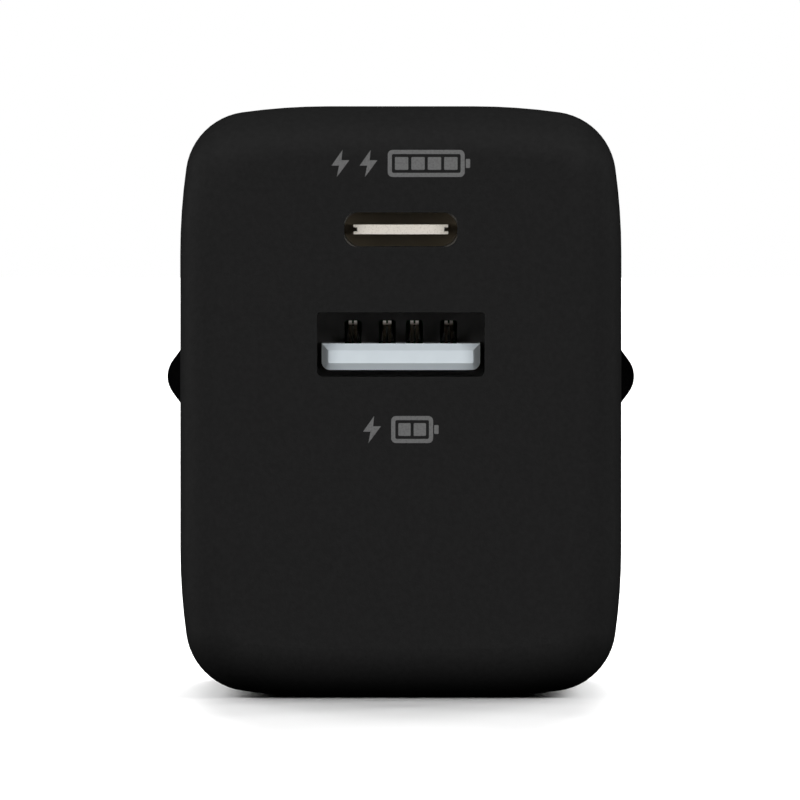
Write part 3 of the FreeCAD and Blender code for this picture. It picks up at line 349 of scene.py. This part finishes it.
def make_materials():
    """Every slot's material, by the slot's name."""
    return {
        "housing_plastic": housing_plastic(),
        "print_ink": print_ink(),
        "cover_plastic": cover_plastic(),
        "carrier_plastic": plain_plastic("carrier_plastic", (0.68, 0.66, 0.6)),
        "pin_metal": pin_metal(),
        "sleeve_plastic": plain_plastic("sleeve_plastic", (0.012, 0.012, 0.012), 0.2, 0.42),
        "lead_insulation": lead_insulation(),
        "circuit_board": circuit_board(),
        "port_steel": sheet_metal("port_steel", (0.3, 0.28, 0.25), 0.34),
        "port_a_plastic": port_a_plastic(),
        "port_black_plastic": plain_plastic("port_black_plastic", (0.06, 0.06, 0.06), 0.2, 0.5),
        "port_c_plastic": port_c_plastic(),
        "contact_metal": contact_metal(),
        "tinned_wire": sheet_metal("tinned_wire", (0.62, 0.63, 0.65), 0.3),
        "ferrite": ferrite(),
        "bobbin_plastic": plain_plastic("bobbin_plastic", (0.02, 0.02, 0.02), 0.25, 0.5),
        "enamelled_copper": enamelled_copper(),
        "coil_tape": coil_tape(),
        "can_aluminium": sheet_metal("can_aluminium", (0.74, 0.75, 0.76), 0.32, 0.1, (0.05, 1, 1)),
        "can_sleeve": can_sleeve(),
        "seal_rubber": rubbery("seal_rubber", (0.02, 0.02, 0.02)),
        "film_box": glossy_part("film_box", (0.62, 0.42, 0.03)),
        "disc_blue": glossy_part("disc_blue", (0.02, 0.1, 0.38)),
        "chip_epoxy": plain_plastic("chip_epoxy", (0.014, 0.014, 0.015), 0.15, 0.6),
        "ceramic_chip": ceramic_chip(),
        "fuse_body": plain_plastic("fuse_body", (0.03, 0.028, 0.026), 0.2, 0.4),
        "spreader_metal": sheet_metal("spreader_metal", (0.68, 0.69, 0.7), 0.35, 0.1, (1, 0.05, 1)),
        "gap_filler": rubbery("gap_filler", (0.25, 0.3, 0.38)),
        "insulating_film": plain_plastic("insulating_film", (0.5, 0.48, 0.4), 0.6, 0.3),
    }


materials = make_materials()
for node_name, thing in NODES.items():
    thing.data.materials.clear()
    thing.data.materials.append(materials[SLOTS[node_name]])


# ---- Printed marks ---------------------------------------------------------------------------------

UPPER_MARK_WIDTH = 10.1 * MM
UPPER_MARK_LEVEL = MIDDLE_Z + 17.38 * MM
LOWER_MARK_WIDTH = 5.5 * MM
LOWER_MARK_LEVEL = MIDDLE_Z - 1.99 * MM
PRINT_HEIGHT = 1.97 * MM
PRINT_STROKE = 0.3 * MM
PRINT_SKIN = 0.012 * MM
BOLT_WIDTH = 1.3 * MM
BOLT_SHAPE = ((0.62, 1.0), (0.0, 0.42), (0.42, 0.42), (0.3, 0.0), (1.0, 0.62), (0.56, 0.62))
MARK_GAP = 0.75 * MM
CELL_ROUND = 0.35 * MM
NUB_WIDTH = 0.4 * MM
NUB_HEIGHT = PRINT_HEIGHT / 3
BAR_GAP = 0.22 * MM
BAR_ROUND = PRINT_STROKE / 4
ROUND_STEPS = 6


def rounded_rectangle(low, high, radius):
    """The outline of a rectangle with rounded corners, as points that go round anticlockwise."""
    points = []
    centres = ((high[0], high[1]), (low[0], high[1]), (low[0], low[1]), (high[0], low[1]))
    for number, (x, z) in enumerate(centres):
        x += -radius if number in (0, 3) else radius
        z += -radius if number in (0, 1) else radius
        for step in range(ROUND_STEPS + 1):
            angle = math.pi / 2 * (number + step / ROUND_STEPS)
            points.append((x + radius * math.cos(angle), z + radius * math.sin(angle)))
    return points


def bolt_outline(left, low):
    """A lightning bolt: two slanted blades that overlap in the middle."""
    return [(left + x * BOLT_WIDTH, low + z * PRINT_HEIGHT) for x, z in BOLT_SHAPE]


def add_plate(mesh, outline, hole=None):
    """Add a printed area with the given outline and perhaps a hole, half sunk into the face."""
    front = FACE_Y - PRINT_SKIN
    outer = [mesh.verts.new((x, front, z)) for x, z in outline]
    if hole:
        inner = [mesh.verts.new((x, front, z)) for x, z in hole]
        quads = zip(outer, outer[1:] + outer[:1], inner[1:] + inner[:1], inner)
        faces = [mesh.faces.new(corners) for corners in quads]
    else:
        faces = [mesh.faces.new(outer)]
    grown = bmesh.ops.extrude_face_region(mesh, geom=faces)
    moved = [part for part in grown["geom"] if isinstance(part, bmesh.types.BMVert)]
    bmesh.ops.translate(mesh, verts=moved, vec=(0, 2 * PRINT_SKIN, 0))


def add_battery(mesh, left, low, width, bars):
    """Add a battery sign: a rounded frame, a nub on its right, and bars inside it."""
    right = left + width - NUB_WIDTH
    high = low + PRINT_HEIGHT
    room_low = (left + PRINT_STROKE, low + PRINT_STROKE)
    room_high = (right - PRINT_STROKE, high - PRINT_STROKE)
    rim = rounded_rectangle((left, low), (right, high), CELL_ROUND)
    room = rounded_rectangle(room_low, room_high, CELL_ROUND / 3)
    add_plate(mesh, rim, room)
    middle = (low + high) / 2
    nub_low = (right + BAR_ROUND, middle - NUB_HEIGHT / 2)
    nub_high = (left + width, middle + NUB_HEIGHT / 2)
    add_plate(mesh, rounded_rectangle(nub_low, nub_high, BAR_ROUND))
    start = room_low[0] + BAR_GAP
    pitch = (room_high[0] - start) / bars
    for number in range(bars):
        bar_left = start + number * pitch
        bar_low = (bar_left, room_low[1] + BAR_GAP)
        bar_high = (bar_left + pitch - BAR_GAP, room_high[1] - BAR_GAP)
        add_plate(mesh, rounded_rectangle(bar_low, bar_high, BAR_ROUND))


def make_mark(name, width, middle_z, bolts, bars):
    """One printed mark: bolts, then a battery sign that fills the rest of the width."""
    mesh = bmesh.new()
    left = -width / 2
    low = middle_z - PRINT_HEIGHT / 2
    for _ in range(bolts):
        add_plate(mesh, bolt_outline(left, low))
        left += BOLT_WIDTH + MARK_GAP
    add_battery(mesh, left, low, width / 2 - left, bars)
    bmesh.ops.recalc_face_normals(mesh, faces=mesh.faces)
    data = bpy.data.meshes.new(name)
    mesh.to_mesh(data)
    mesh.free()
    mark = bpy.data.objects.new(name, data)
    bpy.context.scene.collection.objects.link(mark)
    data.materials.append(materials["print_ink"])
    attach(mark, "charger")
    return mark


marks = [
    make_mark("fast_charge_mark", UPPER_MARK_WIDTH, UPPER_MARK_LEVEL, bolts=2, bars=4),
    make_mark("standard_charge_mark", LOWER_MARK_WIDTH, LOWER_MARK_LEVEL, bolts=1, bars=2),
]


# ---- Camera, floor and lights ----------------------------------------------------------------------

VIEW_DISTANCE = 1.39
VIEW_WIDTH = 58.24 * MM
VIEW_ELEVATION = 0.8
AIM = Vector((-0.06 * MM, FACE_Y, MIDDLE_Z + 0.16 * MM))
FLOOR_SIZE = 8.0
FLOOR_WHITE = 3.3  # the light on the floor that makes it just white
FLOOR_LIGHTS = (  # azimuth, elevation, spread and share of FLOOR_WHITE
    (180, 8, 12, 0.9),
    (166, 10, 14, 0.23),
    (194, 10, 14, 0.23),
    (150, 12, 14, 0.14),
    (210, 12, 14, 0.11),
    (120, 30, 16, 0.11),
    (240, 30, 16, 0.07),
    (90, 45, 20, 0.18),
    (270, 45, 20, 0.11),
)
PLUG_NODES = (
    "rear_cover",
    "live_pin",
    "neutral_pin",
    "live_pin_sleeve",
    "neutral_pin_sleeve",
    "pin_carrier",
)
TALL = (0.5, 0.6)
WIDE = (0.8, 0.5)
LARGE = (0.9, 0.9)
STRIP = (0.9, 0.1)
SHORT_STRIP = (0.3, 0.1)
SOFTBOXES = (  # name, the pieces it lights, azimuth, elevation, distance, size and power
    ("face_left", "face", -34, 32, 1.0, TALL, 7.3),
    ("port_left", "ports", -34, 8, 1.0, TALL, 5.5),
    ("face_right", "face", 34, 32, 1.0, TALL, 7.3),
    ("port_right", "ports", 34, 8, 1.0, TALL, 5.5),
    ("face_low", "face", 0, 3, 1.0, STRIP, 1.1),
    ("side_left", "matt", -100, 4, 1.0, TALL, 5.4),
    ("side_right", "matt", 100, 4, 1.0, TALL, 3.8),
    ("port_top", "ports", 0, 75, 1.0, WIDE, 3.2),
    ("into_port", "contacts", 28, 2, 1.0, SHORT_STRIP, 4.5),
    ("rear_top", "everything", 180, 60, 1.0, WIDE, 0.4),
    ("plug_top", "plug", -15, 45, 0.9, WIDE, 3.5),
    ("plug_left", "plug", -130, 25, 0.8, LARGE, 3.0),
    ("plug_right", "plug", 150, 25, 0.8, LARGE, 2.0),
)


def toward(azimuth, elevation):
    """The direction of a place seen from the charger. Azimuth 0 is the camera's side, 90 is +X."""
    a, e = math.radians(azimuth), math.radians(elevation)
    return Vector((math.sin(a) * math.cos(e), -math.cos(a) * math.cos(e), math.sin(e)))


def aim_back(thing, direction):
    """Turn a camera or a light so that it looks back along a direction."""
    thing.rotation_mode = "QUATERNION"
    thing.rotation_quaternion = (-direction).to_track_quat("-Z", "Y")
    bpy.context.scene.collection.objects.link(thing)


def make_camera():
    """A long lens that looks almost level at the face."""
    data = bpy.data.cameras.new("camera")
    data.lens = data.sensor_width * VIEW_DISTANCE / VIEW_WIDTH
    data.clip_start = 0.05
    data.clip_end = 20
    camera = bpy.data.objects.new("camera", data)
    back = toward(0, VIEW_ELEVATION)
    camera.location = AIM + back * VIEW_DISTANCE
    aim_back(camera, back)
    bpy.context.scene.camera = camera


def make_floor():
    """A wide white floor that the camera sees but that throws no light back."""
    mesh = bmesh.new()
    bmesh.ops.create_grid(mesh, x_segments=8, y_segments=8, size=FLOOR_SIZE / 2)
    data = bpy.data.meshes.new("floor")
    mesh.to_mesh(data)
    mesh.free()
    floor = bpy.data.objects.new("floor", data)
    bpy.context.scene.collection.objects.link(floor)
    surface = Surface("floor", (0.95, 0.95, 0.95), 1.0)
    surface.set("Specular IOR Level", 0.0)
    surface.tint(surface.noise(40), (0.94, 0.94, 0.94))
    data.materials.append(surface.material)
    floor.visible_diffuse = False
    floor.visible_glossy = False
    return floor


def light_group(name, things):
    """The things that some lights shine on."""
    group = bpy.data.collections.new(name)
    for thing in things:
        group.objects.link(thing)
    return group


def add_softbox(name, lit, azimuth, elevation, distance, size, power):
    """A rectangular soft light that faces the charger and shines only on what is lit."""
    data = bpy.data.lights.new(name, "AREA")
    data.shape = "RECTANGLE"
    data.size, data.size_y = size
    data.energy = power
    light = bpy.data.objects.new(name, data)
    back = toward(azimuth, elevation)
    light.location = Vector((0, 0, MIDDLE_Z)) + back * distance
    light.visible_camera = False
    light.light_linking.receiver_collection = lit
    aim_back(light, back)


def add_sky_light(name, lit, azimuth, elevation, spread, strength):
    """Even light from a wide disc of sky, for the floor: as strong everywhere, with soft shadows."""
    data = bpy.data.lights.new(name, "SUN")
    data.angle = math.radians(spread)
    data.energy = strength
    light = bpy.data.objects.new(name, data)
    light.light_linking.receiver_collection = lit
    aim_back(light, toward(azimuth, elevation))


def make_lights(floor):
    """Soft studio light on the charger, and on the floor its own even light with a soft shadow.

    The side lights leave out the glossy rear cover, which would mirror them at a low angle.
    """
    pieces = [thing for thing in bpy.context.scene.objects if thing.type == "MESH" and thing != floor]
    face = [NODES["front_housing"], *marks]
    plug = [NODES[name] for name in PLUG_NODES]
    groups = {
        "everything": light_group("everything", pieces),
        "matt": light_group("matt", [thing for thing in pieces if thing != NODES["rear_cover"]]),
        "face": light_group("face", face),
        "ports": light_group("ports", [thing for thing in pieces if thing not in face + plug]),
        "contacts": light_group("contacts", [NODES[name] for name in NODES if "contact_spring" in name]),
        "plug": light_group("plug", plug),
    }
    for name, group, *place_size_power in SOFTBOXES:
        add_softbox(name, groups[group], *place_size_power)
    ground = light_group("ground", [floor])
    for azimuth, elevation, spread, share in FLOOR_LIGHTS:
        strength = share * FLOOR_WHITE / math.sin(math.radians(elevation))
        add_sky_light(f"floor_from_{azimuth}", ground, azimuth, elevation, spread, strength)


def make_backdrop():
    """White all round for the camera, and no light from it."""
    world = bpy.data.worlds.new("backdrop")
    world.use_nodes = True
    background = world.node_tree.nodes["Background"]
    background.inputs["Color"].default_value = (1, 1, 1, 1)
    background.inputs["Strength"].default_value = 1.0
    bpy.context.scene.world = world
    for ray in ("diffuse", "glossy", "transmission", "scatter"):
        setattr(world.cycles_visibility, ray, False)
    bpy.context.scene.view_settings.view_transform = "Standard"


make_camera()
make_lights(make_floor())
make_backdrop()
